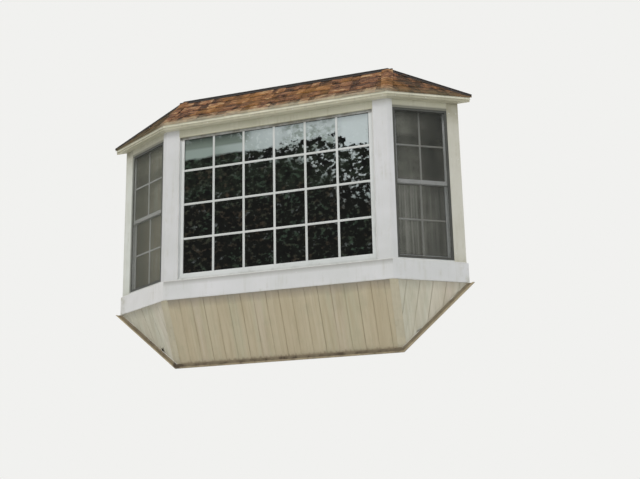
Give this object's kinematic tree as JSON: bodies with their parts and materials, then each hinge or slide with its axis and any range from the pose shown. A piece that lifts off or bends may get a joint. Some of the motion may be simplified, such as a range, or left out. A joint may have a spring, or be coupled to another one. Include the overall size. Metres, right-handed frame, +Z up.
{
  "type": "bay window",
  "caption": "Canted wall-hung bay window: fixed centre window, double-hung flank windows with insect screens, white sill band, hipped shingle roof and a sloped boarded skirt down to the wall.",
  "frame": {"origin": "on the back face of the ledger below the seat board, in the plane of the wall, halfway between the flanks and level with the underside of the sill band", "axes": "+X to the right seen from outside, -Y out of the wall towards the viewer, +Y into the wall, +Z up"},
  "size_m": [3.3666, 0.3786, 2.5981],
  "materials": {
    "framing_timber": "sawn",
    "plywood": "sanded",
    "white_boards": "satin white paint",
    "white_vinyl": "satin",
    "window_glass": "clear",
    "screen_bar": "satin grey",
    "screen_cloth": "woven glass fibre coated in grey vinyl",
    "eave_boards": "satin white paint",
    "drip_metal": "cream gloss",
    "asphalt_shingle": "mineral granules in browns and rust",
    "flashing_metal": "dark brown, matt",
    "skirt_vinyl": "matt",
    "trim_vinyl": "matt"
  },
  "bodies": {
    "root": {"wall_ledger": "framing_timber", "roof_ledger": "framing_timber", "left_wall_jamb": "white_boards", "right_wall_jamb": "white_boards", "seat_board": "plywood", "head_board": "plywood", "left_corner_post": "white_boards", "right_corner_post": "white_boards", "centre_frame": "white_vinyl", "centre_sash": "white_vinyl", "centre_glass": "window_glass", "left_frame": "white_vinyl", "left_upper_sash": "white_vinyl", "left_lower_sash": "white_vinyl", "left_glass": "window_glass", "left_screen_frame": "screen_bar", "left_screen_mesh": "screen_cloth", "right_frame": "white_vinyl", "right_upper_sash": "white_vinyl", "right_lower_sash": "white_vinyl", "right_glass": "window_glass", "right_screen_frame": "screen_bar", "right_screen_mesh": "screen_cloth", "sill_front": "white_boards", "sill_left": "white_boards", "sill_right": "white_boards", "frieze_front": "white_boards", "frieze_left": "white_boards", "frieze_right": "white_boards", "eave_front": "eave_boards", "eave_left": "eave_boards", "eave_right": "eave_boards", "drip_edge": "drip_metal", "rafters": "framing_timber", "roof_deck": "plywood", "shingles_front": "asphalt_shingle", "shingles_left": "asphalt_shingle", "shingles_right": "asphalt_shingle", "wall_flashing": "flashing_metal", "skirt_ribs": "framing_timber", "skirt_front": "skirt_vinyl", "skirt_left": "skirt_vinyl", "skirt_right": "skirt_vinyl", "skirt_corners": "trim_vinyl", "skirt_channel": "trim_vinyl"}
  },
  "joints": []
}
